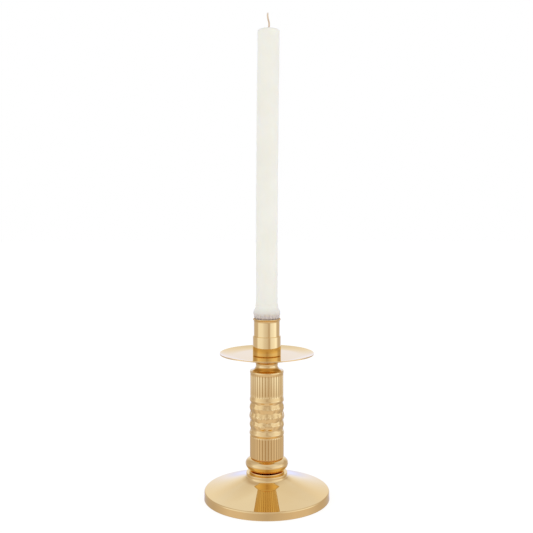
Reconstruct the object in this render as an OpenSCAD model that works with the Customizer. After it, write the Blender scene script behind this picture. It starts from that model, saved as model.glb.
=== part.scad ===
// Table candlestick with a drip pan and a push-in taper candle.
// Spun base and pan, turned collar, bead, reeded sleeve, neck and socket.
// One tie rod clamps the column to the base, one screw clamps the socket.
// Origin: centre of the underside. +Z is up. Millimetres.

/* [Base] */
// Outer radius of the base at the table
base_r = 65.1; // [62:0.1:69]
// Height of the upright rim, up to its rounded shoulder
rim_h = 8.7; // [7.5:0.1:9.8]
// Radius of the rounded shoulder
rim_round = 1.5; // [1.3:0.1:2.2]
// Slope of the disc between rim and top, in degrees
disc_slope = 12; // [11:0.1:13]
// Radius of the disc's wide hollow curve
disc_curve_r = 212; // [195:1:235]
// Slope where the disc turns into the bell, in degrees
bell_slope = 22.3; // [21.6:0.1:23]
// Slope at the upper end of the bell, in degrees
sweep_slope = 32.8; // [31:0.1:35]
// Radius of the small hollow curve under the top of the base
cove_r = 2.6; // [1.6:0.1:3]
// Radius of the narrow top of the base
base_top_r = 21.4; // [20.6:0.1:22]
// Height of the narrow top of the base
base_h = 27.2; // [26.6:0.1:29]
// Thickness of the spun base sheet
sheet_t = 1.2; // [0.9:0.1:1.2]
// Thickness of the felt under the base
felt_t = 1.6; // [1:0.1:2.4]

/* [Column] */
// Height of the collar ring between base and bead
collar_h = 1.7; // [1.2:0.1:2.2]
// Radius of the collar ring
collar_r = 18.2; // [17.5:0.1:19]
// Largest radius of the bead
bead_r = 22.1; // [20:0.1:23]
// Height of the lower half of the bead, below its widest line
bead_low_h = 8.1; // [7.4:0.1:8.6]
// Height of the upper half of the bead, above its widest line
bead_up_h = 6.3; // [5.5:0.1:7]
// Length of the reeded sleeve
sleeve_h = 90.4; // [88:0.1:93]
// Radius over the reeds
reed_r = 17.5; // [17:0.1:18]
// Depth of the grooves between the reeds
groove_depth = 0.5; // [0.3:0.05:0.7]
// Number of reeds around the sleeve
reed_count = 36; // [30:1:42]
// Height of the neck between sleeve and pan
neck_h = 14.5; // [13:0.1:16]
// Smallest radius of the neck
waist_r = 11.4; // [10.5:0.1:12.2]

/* [Drip pan and socket] */
// Radius of the drip pan
pan_r = 48.4; // [45:0.1:52]
// Thickness of the spun pan sheet
pan_t = 0.9; // [0.7:0.1:1.2]
// Rise of the pan from its flat middle to its edge
pan_rise = 2.6; // [1.8:0.1:3.2]
// Outer radius of the cup that holds the socket tube
cup_r = 14.45; // [14.3:0.05:15]
// Height of the cup
cup_h = 20.1; // [18:0.1:22]
// Outer radius of the socket tube
tube_r = 13.4; // [13.3:0.05:13.5]
// Inner radius of the socket tube
tube_bore_r = 12.2; // [12.2:0.05:12.4]
// Height of the socket mouth above the pan
socket_h = 38; // [37.5:0.1:40]

/* [Candle] */
// Radius of the candle, a standard seven-eighths inch taper
candle_r = 11.1; // [10.8:0.1:11.2]
// Length of the candle that stands above the socket mouth
candle_h = 290.6; // [200:0.2:300]
// Length of the fluted candle foot inside the socket
candle_foot_h = 21; // [15:0.5:22]
// Number of grooves around the candle foot
candle_groove_count = 20; // [16:1:24]
// Radius of the wick
wick_r = 1; // [0.8:0.1:1.2]
// Length of bare wick above the wax
wick_h = 15.9; // [8:0.1:20]

/* [Fasteners] */
// Radius of the tie rod
rod_r = 3; // [2.5:0.1:3.2]
// Radius of the socket screw
screw_r = 2.5; // [2:0.1:2.6]
// Clearance between a fastener and a plain hole, on the radius
hole_gap = 0.25; // [0.1:0.05:0.4]

/* [Hidden] */
$fn = 96;
ARC_N = 10; // straight pieces in each round stretch of an outline
FIT_GAP = 0.05; // radial clearance of a centring spigot

// base
foot_chamfer = 0.5;
rim_lean = 0.35; // the rim leans inwards this much over its height
shoulder_c = [base_r - rim_lean - rim_round, rim_h - rim_round * cos(disc_slope)];
shoulder_top = shoulder_c + rim_round * [sin(disc_slope), cos(disc_slope)];
bell_dir = [sin(bell_slope), cos(bell_slope)];
sweep_dir = [sin(sweep_slope), cos(sweep_slope)];
disc_c = shoulder_top + disc_curve_r * [sin(disc_slope), cos(disc_slope)];
bell_foot = disc_c - disc_curve_r * bell_dir;
sweep_r = (bell_foot.x - cove_r * (1 - sweep_dir.x) - base_top_r) / (sweep_dir.x - bell_dir.x);
sweep_c = bell_foot + sweep_r * bell_dir;
cove_c = sweep_c - (sweep_r - cove_r) * sweep_dir;
pocket_r = 9; // room for a socket wrench around the nut
pocket_h = 16; // roof of the pocket in the weight

// column heights
collar_z = base_h;
bead_z = collar_z + collar_h;
bead_mid_z = bead_z + bead_low_h;
sleeve_z = bead_mid_z + bead_up_h;
neck_z = sleeve_z + sleeve_h;
pan_z = neck_z + neck_h;
cup_z = pan_z + pan_t;
mouth_z = cup_z + socket_h;

// bead and sleeve
bead_round = 9.85; // radial depth of the bead's round side
bead_seat_r = 16.3;
centring_r = 8; // spigot of the bead that runs down through the collar
sleeve_bore_r = 14;
spigot_h = 7;
band_h = 2.5; // plain band at the top of the sleeve
groove_r = 0.95;
// rings of the sleeve from the top down: height above its foot, and radius
RINGS = [[64.4, 17.1], [60.1, 17.75], [57, 16.75], [52.5, 17.55], [48.1, 17.15], [43.4, 18.06],
         [38.1, 17.15], [35.3, 17.6], [29.7, 16.9], [25.5, 17.96]];
ledge_top = 24.5;
ledge_in = 23.6; // inner end of the slope under the lowest ring
ledge_foot = 22.9;

// neck
neck_foot_r = 16.9;
neck_cove = [6, 5.1]; // radial depth and height of the lower hollow
neck_flare = [3.6, 4.2]; // radial depth and height of the upper hollow
waist_h = 0.5; // straight length of the waist
neck_spigot_h = 10;

// socket
cup_floor_t = 3;
cup_foot_round = 1;
pan_flat_r = 32;
mouth_r = 14.4;
mouth_flare_h = 3.6;
mouth_edge_t = 0.9;

// candle
candle_tip_z = mouth_z + candle_h;
dome_h = 2; // height of the rounded candle top
bulge_r = 13.9;
foot_end_r = 10.4;
foot_groove_r = 0.8;
foot_groove_in = 0.3; // how far the grooves cut in

// fasteners
hole_r = rod_r + hole_gap;
screw_hole_r = screw_r + hole_gap;
washer_t = 1.6;
washer_r = 6;
lock_t = 1.5;
lock_r = 5.3;
nut_h = 5;
nut_af = 10; // across the flats
rod_tail = 1.5; // rod below the nut
rod_in_neck = 11;
screw_head_r = 4.5;
screw_head_h = 3.2;
screw_in_neck = 9;
slot_w = 1.2;

// Points of an arc with its own radial and upright size, from angle a0 to a1.
function arc(c, rx, ry, a0, a1, n = ARC_N) =
    [for (i = [0 : n]) let (a = a0 + (a1 - a0) * i / n) [c.x + rx * cos(a), c.y + ry * sin(a)]];

// All points but the first, for an arc that carries on from another.
function carried(points) = [for (i = [1 : len(points) - 1]) points[i]];

// The base's outside from its narrow top to its rim, moved inwards by t.
function base_side(t) =
    concat(arc(cove_c, cove_r + t, cove_r + t, 180, 270 - sweep_slope, 6),
           carried(arc(sweep_c, sweep_r + t, sweep_r + t, 270 - sweep_slope, 270 - bell_slope, 6)),
           carried(arc(disc_c, disc_curve_r + t, disc_curve_r + t, 270 - bell_slope,
                       270 - disc_slope)),
           carried(arc(shoulder_c, rim_round - t, rim_round - t, 90 - disc_slope, 0, 5)));

// Smooth wave through the rings, as points from the top down.
function ring_wave() =
    [for (k = [0 : len(RINGS) - 2], i = [0 : 5])
        let (s = i / 6, w = (1 - cos(180 * s)) / 2, a = RINGS[k], b = RINGS[k + 1])
        [a.y + (b.y - a.y) * w, a.x + (b.x - a.x) * s]];

module turned(points) { rotate_extrude() polygon(points); }

module washer_ring(r, hole, z, h) {
    translate([0, 0, z]) difference() {
        cylinder(r = r, h = h);
        translate([0, 0, -1]) cylinder(r = hole, h = h + 2);
    }
}

module base_shell() {
    color("gold") turned(concat(
        [[hole_r, base_h], [base_top_r - 0.8, base_h], [base_top_r, base_h - 0.8]],
        base_side(0),
        [[base_r, foot_chamfer], [base_r - foot_chamfer, 0], [base_r - sheet_t, 0]],
        [for (i = [len(base_side(0)) - 1 : -1 : 0]) base_side(sheet_t)[i]],
        [[base_top_r - sheet_t, base_h - sheet_t], [hole_r, base_h - sheet_t]]));
}

module base_weight() {
    color("dimgray") turned(concat(
        [[hole_r, base_h - sheet_t], [base_top_r - sheet_t, base_h - sheet_t]],
        base_side(sheet_t),
        [[base_r - rim_lean - sheet_t, felt_t], [pocket_r, felt_t], [pocket_r, pocket_h],
         [hole_r, pocket_h]]));
}

module base_felt() {
    color("darkolivegreen") cylinder(r = base_r - rim_lean - sheet_t, h = felt_t);
}

module base_collar() {
    color("gold") turned([[centring_r + FIT_GAP, collar_z], [collar_r - 0.4, collar_z],
        [collar_r, collar_z + 0.4], [collar_r, collar_z + collar_h - 0.5],
        [collar_r - 0.5, collar_z + collar_h], [centring_r + FIT_GAP, collar_z + collar_h]]);
}

module bead() {
    c = [bead_r - bead_round, bead_mid_z];
    seat_a = acos((bead_seat_r - c.x) / bead_round);
    color("gold") turned(concat(
        [[hole_r, collar_z], [centring_r, collar_z], [centring_r, bead_z]],
        arc(c, bead_round, bead_low_h, -90, 0),
        arc(c, bead_round, bead_up_h, 6, seat_a),
        [[bead_seat_r, sleeve_z], [sleeve_bore_r, sleeve_z], [sleeve_bore_r, sleeve_z + spigot_h],
         [hole_r, sleeve_z + spigot_h]]));
}

// A reeded length of the sleeve: a round bar with grooves all round it.
module reeds(h) {
    linear_extrude(h) difference() {
        circle(r = reed_r);
        for (i = [0 : reed_count - 1])
            rotate(i * 360 / reed_count)
                translate([reed_r + groove_r - groove_depth, 0]) circle(r = groove_r, $fn = 24);
    }
}

module reeded_sleeve() {
    wave_top = RINGS[0].x;
    color("goldenrod") translate([0, 0, sleeve_z]) difference() {
        union() {
            turned(concat([[0, wave_top]], ring_wave(),
                [[RINGS[9].y, RINGS[9].x], [RINGS[9].y - 0.1, ledge_top],
                 [reed_r - groove_depth, ledge_in], [reed_r - groove_depth, ledge_foot],
                 [0, ledge_foot]]));
            reeds(ledge_foot);
            translate([0, 0, wave_top]) reeds(sleeve_h - band_h - wave_top);
            translate([0, 0, sleeve_h - band_h]) turned([[0, 0], [reed_r - 0.4, 0], [reed_r, 0.5],
                [reed_r, band_h - 0.9], [neck_foot_r, band_h], [0, band_h]]);
        }
        translate([0, 0, -1]) cylinder(r = sleeve_bore_r, h = sleeve_h + 2);
    }
}

module neck() {
    waist_z = neck_z + neck_cove.y;
    low_c = [waist_r + neck_cove.x, waist_z];
    top_c = [waist_r + neck_flare.x, waist_z + waist_h];
    low_a = acos((low_c.x - neck_foot_r) / neck_cove.x);
    color("gold") difference() {
        turned(concat(
            [[0, neck_z - neck_spigot_h], [sleeve_bore_r, neck_z - neck_spigot_h],
             [sleeve_bore_r, neck_z], [neck_foot_r, neck_z]],
            arc(low_c, neck_cove.x, neck_cove.y, 180 + low_a, 180),
            arc(top_c, neck_flare.x, neck_flare.y, 180, 90),
            [[top_c.x, pan_z], [0, pan_z]]));
        translate([0, 0, neck_z - neck_spigot_h - 1]) cylinder(r = rod_r, h = rod_in_neck + 2);
        translate([0, 0, pan_z - screw_in_neck - 0.5]) cylinder(r = screw_r, h = screw_in_neck + 1);
    }
}

module drip_pan() {
    run = pan_r - pan_flat_r;
    curve_r = (run * run + pan_rise * pan_rise) / (2 * pan_rise);
    curve_a = asin(run / curve_r);
    c = [pan_flat_r, pan_z + curve_r];
    color("gold") turned(concat(
        [[screw_hole_r, pan_z]],
        arc(c, curve_r, curve_r, -90, curve_a - 90),
        arc(c, curve_r - pan_t, curve_r - pan_t, curve_a - 90, -90),
        [[screw_hole_r, cup_z]]));
}

module socket_cup() {
    top = cup_z + cup_h;
    floor_z = cup_z + cup_floor_t;
    foot_c = [cup_r - cup_foot_round, cup_z + cup_foot_round];
    color("gold") turned(concat(
        [[screw_hole_r, cup_z]],
        arc(foot_c, cup_foot_round, cup_foot_round, -90, 0, 5),
        [[cup_r, top - 0.3], [cup_r - 0.3, top], [tube_r, top], [tube_r, floor_z],
         [screw_hole_r, floor_z]]));
}

module socket_tube() {
    floor_z = cup_z + cup_floor_t;
    flare_z = mouth_z - mouth_flare_h;
    flare_w = mouth_r - tube_r;
    edge_r = mouth_r - mouth_edge_t;
    color("gold") turned(concat(
        [[tube_bore_r, floor_z], [tube_r, floor_z]],
        arc([mouth_r, flare_z], flare_w, mouth_flare_h - 0.6, 180, 90, 6),
        [[mouth_r, mouth_z - 0.3], [mouth_r - 0.3, mouth_z], [edge_r, mouth_z]],
        arc([edge_r, flare_z], edge_r - tube_bore_r, mouth_flare_h - 0.6, 90, 180, 6)));
}

module socket_screw() {
    head_z = cup_z + cup_floor_t;
    tip_z = pan_z - screw_in_neck;
    color("silver") difference() {
        union() {
            translate([0, 0, head_z]) cylinder(r = screw_head_r, h = screw_head_h);
            translate([0, 0, tip_z]) cylinder(r = screw_r, h = head_z - tip_z);
        }
        translate([-screw_head_r - 1, -slot_w / 2, head_z + screw_head_h / 2])
            cube([2 * screw_head_r + 2, slot_w, screw_head_h]);
    }
}

module tie_rod() {
    z0 = pocket_h - washer_t - lock_t - nut_h - rod_tail;
    color("silver") translate([0, 0, z0])
        cylinder(r = rod_r, h = neck_z - neck_spigot_h + rod_in_neck - z0);
}

module rod_washer() {
    color("silver") washer_ring(washer_r, hole_r, pocket_h - washer_t, washer_t);
}

module lock_washer() {
    color("gray") difference() {
        washer_ring(lock_r, hole_r, pocket_h - washer_t - lock_t, lock_t);
        translate([0, -0.5, pocket_h - washer_t - lock_t - 1]) cube([lock_r + 1, 1, lock_t + 2]);
    }
}

module rod_nut() {
    color("silver") translate([0, 0, pocket_h - washer_t - lock_t - nut_h]) difference() {
        cylinder(r = nut_af / sqrt(3), h = nut_h, $fn = 6);
        translate([0, 0, -1]) cylinder(r = rod_r, h = nut_h + 2);
    }
}

module candle() {
    foot_z = mouth_z - candle_foot_h;
    dome_z = candle_tip_z - dome_h;
    color("ivory") difference() {
        turned(concat(
            [[0, foot_z], [foot_end_r - 0.8, foot_z], [foot_end_r, foot_z + 0.8],
             [tube_bore_r - 0.65, mouth_z - mouth_flare_h - 1], [tube_bore_r + 0.3, mouth_z - 0.2],
             [bulge_r - 0.8, mouth_z + 1.4]],
            arc([bulge_r - 2, mouth_z + 6.1], 2, 3.4, -40, 50),
            [[candle_r + 0.55, mouth_z + 12.9], [candle_r, mouth_z + 15]],
            arc([candle_r - 4, dome_z], 4, dome_h, 0, 90),
            [[0, candle_tip_z]]));
        translate([0, 0, foot_z - 1]) cylinder(r = wick_r, h = candle_tip_z - foot_z + 2);
        for (i = [0 : candle_groove_count - 1])
            rotate(i * 360 / candle_groove_count)
                translate([tube_bore_r + foot_groove_r - 0.9 - foot_groove_in, 0, foot_z - 1])
                    cylinder(r = foot_groove_r, h = candle_foot_h - 3, $fn = 24);
    }
}

module wick() {
    foot_z = mouth_z - candle_foot_h;
    color("tan") translate([0, 0, foot_z]) cylinder(r = wick_r, h = candle_tip_z + wick_h - foot_z);
}

base_shell();
base_weight();
base_felt();
base_collar();
bead();
reeded_sleeve();
neck();
drip_pan();
socket_cup();
socket_tube();
socket_screw();
tie_rod();
rod_washer();
lock_washer();
rod_nut();
candle();
wick();
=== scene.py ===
"""Looks of a polished brass candlestick with a drip pan and a dinner candle, built on its CAD frame."""
import logging
import math
from dataclasses import dataclass, field
from enum import Enum

import bmesh
import bpy
import numpy as np
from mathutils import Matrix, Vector


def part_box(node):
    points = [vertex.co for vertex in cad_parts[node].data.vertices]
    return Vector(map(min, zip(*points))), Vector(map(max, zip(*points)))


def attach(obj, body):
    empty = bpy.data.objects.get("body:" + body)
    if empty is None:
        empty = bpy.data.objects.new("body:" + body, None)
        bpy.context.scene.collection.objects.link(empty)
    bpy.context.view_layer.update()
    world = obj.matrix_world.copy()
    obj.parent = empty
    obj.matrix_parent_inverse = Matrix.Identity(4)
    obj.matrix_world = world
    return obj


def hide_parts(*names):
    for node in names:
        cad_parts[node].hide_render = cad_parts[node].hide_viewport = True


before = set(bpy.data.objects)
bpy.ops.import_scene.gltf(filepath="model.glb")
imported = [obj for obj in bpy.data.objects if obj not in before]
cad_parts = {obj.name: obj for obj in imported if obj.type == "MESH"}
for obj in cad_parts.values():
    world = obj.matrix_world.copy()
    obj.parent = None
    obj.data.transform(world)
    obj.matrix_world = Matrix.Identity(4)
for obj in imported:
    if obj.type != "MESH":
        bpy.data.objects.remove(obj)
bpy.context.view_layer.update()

LOG = logging.getLogger("candlestick")
MM = 0.001
STICK = "candlestick"
CANDLE = "candle"
Point = tuple[float, float]
Colour = tuple[float, float, float, float]


class Slot(Enum):
    """Material slots of the record."""

    BRASS = "polished_brass"
    IRON = "weight_iron"
    FELT = "felt"
    STEEL = "fastener_steel"
    WAX = "candle_wax"
    COTTON = "wick_cotton"


# ---------------------------------------------------------------- outlines


def arc(centre: Point, size: Point, start: float, end: float, steps: int = 12) -> list[Point]:
    """Points of an arc in a half section.

    Args:
        centre: radius and height of its centre, in millimetres.
        size: its radial and its upright half size.
        start: first angle in degrees, 0 pointing outwards and 90 up.
        end: last angle in degrees.
        steps: number of straight pieces.

    Returns:
        The points from start to end.
    """
    angles = np.radians(np.linspace(start, end, steps + 1))
    return [(centre[0] + size[0] * math.cos(a), centre[1] + size[1] * math.sin(a)) for a in angles]


def wave(marks: list[Point], steps: int = 14) -> list[Point]:
    """Smooth wave through crests and hollows.

    Args:
        marks: radius and height of each crest and hollow in turn.
        steps: points between two marks.

    Returns:
        The wave's points, from the first mark to the last.
    """
    points = []
    for (r0, z0), (r1, z1) in zip(marks, marks[1:]):
        for i in range(steps):
            share = i / steps
            points.append((r0 + (r1 - r0) * (1 - math.cos(math.pi * share)) / 2, z0 + (z1 - z0) * share))
    return points + [marks[-1]]


def soften(corners: list[tuple[float, float, float]], steps: int = 5) -> list[Point]:
    """Rounds the corners of a closed half section.

    Args:
        corners: radius, height and rounding radius of each corner; no rounding where it is 0.
        steps: straight pieces in each rounded corner.

    Returns:
        The points of the rounded outline.
    """
    points = []
    count = len(corners)
    for i, (r, z, rounding) in enumerate(corners):
        here = Vector((r, z))
        before = Vector(corners[i - 1][:2]) - here
        after = Vector(corners[(i + 1) % count][:2]) - here
        if rounding <= 0 or before.length < 1e-6 or after.length < 1e-6:
            points.append((r, z))
            continue
        half = before.angle(after) / 2
        reach = min(rounding / math.tan(half), 0.45 * before.length, 0.45 * after.length)
        first = here + before.normalized() * reach
        last = here + after.normalized() * reach
        for k in range(steps + 1):
            t = k / steps
            at = first * (1 - t) ** 2 + here * (2 * t * (1 - t)) + last * t**2
            points.append((at.x, at.y))
    return points


def supported(outline: list[Point], reach: float = 0.25, longest: float = 3.0) -> list[Point]:
    """Adds points near the ends of long straight pieces, so that smooth shading stays crisp there.

    Args:
        outline: closed half section in millimetres.
        reach: distance of the added points from the ends.
        longest: greatest length of a piece between two points.

    Returns:
        The outline with the added points.
    """
    points = []
    for a, b in zip(outline, outline[1:] + outline[:1]):
        points.append(a)
        length = math.dist(a, b)
        if length <= 3 * reach:
            continue
        inner = max(1, math.ceil((length - 2 * reach) / longest))
        for k in range(inner + 1):
            t = (reach + (length - 2 * reach) * k / inner) / length
            points.append((a[0] + (b[0] - a[0]) * t, a[1] + (b[1] - a[1]) * t))
    return points


# ---------------------------------------------------------------- meshes


def placed(name: str, data: bpy.types.ID) -> bpy.types.Object:
    """Adds a new object to the scene.

    Args:
        name: the object's name.
        data: its mesh, camera or light.

    Returns:
        The object.
    """
    thing = bpy.data.objects.new(name, data)
    bpy.context.scene.collection.objects.link(thing)
    return thing


def turned(name: str, outline: list[Point], segments: int = 256) -> bpy.types.Object:
    """Turns a closed half section round the Z axis.

    Args:
        name: the new object's name.
        outline: radius and height of each point, in millimetres, in order.
        segments: number of steps round the axis.

    Returns:
        The new object, with a closed mesh in metres and outward normals.
    """
    mesh = bpy.data.meshes.new(name)
    made = bmesh.new()
    angles = [2 * math.pi * k / segments for k in range(segments)]
    turns = [(math.cos(angle), math.sin(angle)) for angle in angles]
    rings = []
    for r, z in outline:
        if r < 1e-6:
            rings.append([made.verts.new((0.0, 0.0, z * MM))] * segments)
        else:
            rings.append([made.verts.new((r * c * MM, r * s * MM, z * MM)) for c, s in turns])
    for low, high in zip(rings, rings[1:] + rings[:1]):
        for k in range(segments):
            corners = [low[k - 1], low[k], high[k], high[k - 1]]
            unique = list(dict.fromkeys(corners))
            if len(unique) > 2:
                made.faces.new(unique)
    bmesh.ops.recalc_face_normals(made, faces=made.faces)
    made.to_mesh(mesh)
    made.free()
    thing = placed(name, mesh)
    smooth(thing)
    return thing


def smooth(thing: bpy.types.Object, crease: float = 34.0) -> None:
    """Shades a mesh smooth and keeps edges over the crease angle, in degrees, sharp."""
    thing.data.shade_smooth()
    thing.data.set_sharp_from_angle(angle=math.radians(crease))


def baked(thing: bpy.types.Object) -> bpy.types.Object:
    """Turns an object's modifiers into a plain mesh.

    Args:
        thing: the object, which is removed.

    Returns:
        A new object of the same name with the evaluated mesh and no modifiers.
    """
    name = thing.name
    graph = bpy.context.evaluated_depsgraph_get()
    mesh = bpy.data.meshes.new_from_object(thing.evaluated_get(graph))
    bpy.data.objects.remove(thing)
    plain = placed(name, mesh)
    smooth(plain)
    return plain


def store(thing: bpy.types.Object, name: str, values: np.ndarray) -> None:
    """Keeps one number for each vertex as a named attribute."""
    layer = thing.data.attributes.new(name, "FLOAT", "POINT")
    layer.data.foreach_set("value", values.astype(np.float32))


def places(thing: bpy.types.Object) -> np.ndarray:
    """Reads where the vertices are.

    Args:
        thing: the object.

    Returns:
        One row of x, y and z for each vertex, in millimetres.
    """
    flat = np.zeros(len(thing.data.vertices) * 3, np.float32)
    thing.data.vertices.foreach_get("co", flat)
    return flat.reshape(-1, 3) / MM


def step_up(values: np.ndarray, low: float, high: float) -> np.ndarray:
    """Smooth step from 0 at low to 1 at high."""
    share = np.clip((values - low) / (high - low), 0, 1)
    return share * share * (3 - 2 * share)


# ---------------------------------------------------------------- node trees


class Graph:
    """Adds and joins the nodes of one tree."""

    def __init__(self, tree: bpy.types.NodeTree) -> None:
        """Keeps the tree."""
        self.tree = tree

    def node(self, kind: str, **settings: object) -> bpy.types.Node:
        """Adds a node and sets its properties.

        Args:
            kind: Blender's name of the node type.
            settings: properties of the node by name.

        Returns:
            The node.
        """
        made = self.tree.nodes.new(kind)
        for key, value in settings.items():
            setattr(made, key, value)
        return made

    def feed(self, target: bpy.types.NodeSocket, value: object) -> None:
        """Links or sets an input.

        Args:
            target: the input.
            value: a socket to link to it, or a plain value.
        """
        if isinstance(value, bpy.types.NodeSocket):
            self.tree.links.new(value, target)
        else:
            target.default_value = value

    def math(self, operation: str, *values: object, clamp: bool = False) -> bpy.types.NodeSocket:
        """Adds a Math node.

        Args:
            operation: the node's operation.
            values: its inputs, each a number or a socket.
            clamp: whether to keep the result between 0 and 1.

        Returns:
            The result's socket.
        """
        made = self.node("ShaderNodeMath", operation=operation, use_clamp=clamp)
        for target, value in zip(made.inputs, values):
            self.feed(target, value)
        return made.outputs[0]

    def ease(self, value: object, low: float, high: float,
             out: Point = (0.0, 1.0)) -> bpy.types.NodeSocket:
        """Adds a smooth Map Range.

        Args:
            value: the number or socket to map.
            low: the value that gives the first number of out.
            high: the value that gives its second number.
            out: the range of the result.

        Returns:
            The result's socket.
        """
        made = self.node("ShaderNodeMapRange", interpolation_type="SMOOTHSTEP")
        for target, given in zip(made.inputs, (value, low, high, *out)):
            self.feed(target, given)
        return made.outputs[0]

    def mix(self, share: object, first: object, second: object) -> bpy.types.NodeSocket:
        """Adds a colour mix.

        Args:
            share: how much of the second colour shows.
            first: a colour or a socket.
            second: a colour or a socket.

        Returns:
            The colour's socket.
        """
        made = self.node("ShaderNodeMix", data_type="RGBA")
        self.feed(made.inputs["Factor"], share)
        self.feed(made.inputs[6], first)
        self.feed(made.inputs[7], second)
        return made.outputs[2]

    def noise(self, place: bpy.types.NodeSocket, scale: object, detail: float = 2.0,
              roughness: float = 0.5) -> bpy.types.NodeSocket:
        """Adds a Noise Texture.

        Args:
            place: the place that it reads.
            scale: its scale, a number or a socket.
            detail: its detail.
            roughness: its roughness.

        Returns:
            The socket of its factor.
        """
        made = self.node("ShaderNodeTexNoise", noise_dimensions="3D")
        given = {"Vector": place, "Scale": scale, "Detail": detail, "Roughness": roughness}
        for name, value in given.items():
            self.feed(made.inputs[name], value)
        return made.outputs["Fac"]

    def split(self, vector: bpy.types.NodeSocket) -> tuple[bpy.types.NodeSocket, ...]:
        """Adds a Separate XYZ node.

        Args:
            vector: the vector's socket.

        Returns:
            The sockets of x, y and z.
        """
        made = self.node("ShaderNodeSeparateXYZ")
        self.feed(made.inputs[0], vector)
        return tuple(made.outputs)

    def join(self, *parts: object) -> bpy.types.NodeSocket:
        """Adds a Combine XYZ node.

        Args:
            parts: x, y and z, each a number or a socket.

        Returns:
            The vector's socket.
        """
        made = self.node("ShaderNodeCombineXYZ")
        for target, part in zip(made.inputs, parts):
            self.feed(target, part)
        return made.outputs[0]

    def product(self, first: object, *others: object) -> bpy.types.NodeSocket:
        """Multiplies numbers or sockets.

        Args:
            first: the first of them.
            others: the rest.

        Returns:
            The product's socket.
        """
        result = first
        for other in others:
            result = self.math("MULTIPLY", result, other)
        return result

    def radius(self, x: bpy.types.NodeSocket, y: bpy.types.NodeSocket) -> bpy.types.NodeSocket:
        """Distance of x and y from the Z axis."""
        return self.math("SQRT", self.math("ADD", self.product(x, x), self.product(y, y)))

    def blend(self, share: bpy.types.NodeSocket, first: bpy.types.NodeSocket,
              second: bpy.types.NodeSocket) -> bpy.types.NodeSocket:
        """Adds a Mix Shader.

        Args:
            share: how much of the second shader shows.
            first: the first shader's socket.
            second: the second shader's socket.

        Returns:
            The mixed shader's socket.
        """
        made = self.node("ShaderNodeMixShader")
        for target, given in zip(made.inputs, (share, first, second)):
            self.feed(target, given)
        return made.outputs[0]


def new_group(name: str, kind: str, inputs: dict[str, float],
              outputs: dict[str, str]) -> tuple[Graph, bpy.types.Node, bpy.types.Node]:
    """Starts a node group.

    Args:
        name: the group's name.
        kind: its tree type.
        inputs: named number inputs and their defaults.
        outputs: named outputs and their socket types.

    Returns:
        The group's graph, its input node and its output node.
    """
    tree = bpy.data.node_groups.new(name, kind)
    graph = Graph(tree)
    if kind == "GeometryNodeTree":
        tree.interface.new_socket(name="Geometry", in_out="INPUT", socket_type="NodeSocketGeometry")
    else:
        tree.interface.new_socket(name="Place", in_out="INPUT", socket_type="NodeSocketVector")
    for label, value in inputs.items():
        made = tree.interface.new_socket(name=label, in_out="INPUT", socket_type="NodeSocketFloat")
        made.default_value = value
    if kind == "GeometryNodeTree":
        tree.interface.new_socket(name="Material", in_out="INPUT", socket_type="NodeSocketMaterial")
    for label, socket_type in outputs.items():
        tree.interface.new_socket(name=label, in_out="OUTPUT", socket_type=socket_type)
    return graph, graph.node("NodeGroupInput"), graph.node("NodeGroupOutput")


def grow(thing: bpy.types.Object, tree: bpy.types.NodeTree, values: dict[str, object]) -> bpy.types.Object:
    """Runs a Geometry Nodes tree on an object and bakes the result.

    Args:
        thing: the object that the tree works on.
        tree: the tree.
        values: the tree's inputs by name.

    Returns:
        The baked object.
    """
    modifier = thing.modifiers.new(tree.name, "NODES")
    modifier.node_group = tree
    for item in tree.interface.items_tree:
        if item.in_out == "INPUT" and item.name in values:
            modifier[item.identifier] = values[item.name]
    return baked(thing)


def finished(g: Graph, start: bpy.types.Node, end: bpy.types.Node,
             geometry: bpy.types.NodeSocket) -> bpy.types.NodeTree:
    """Ends a Geometry Nodes tree with Realize Instances and Set Material.

    Args:
        g: the tree's graph.
        start: its input node.
        end: its output node.
        geometry: what the tree has made.

    Returns:
        The tree.
    """
    real = g.node("GeometryNodeRealizeInstances")
    g.feed(real.inputs[0], geometry)
    dress = g.node("GeometryNodeSetMaterial")
    g.feed(dress.inputs["Geometry"], real.outputs[0])
    g.feed(dress.inputs["Material"], start.outputs["Material"])
    g.feed(end.inputs["Geometry"], dress.outputs[0])
    return g.tree


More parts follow.
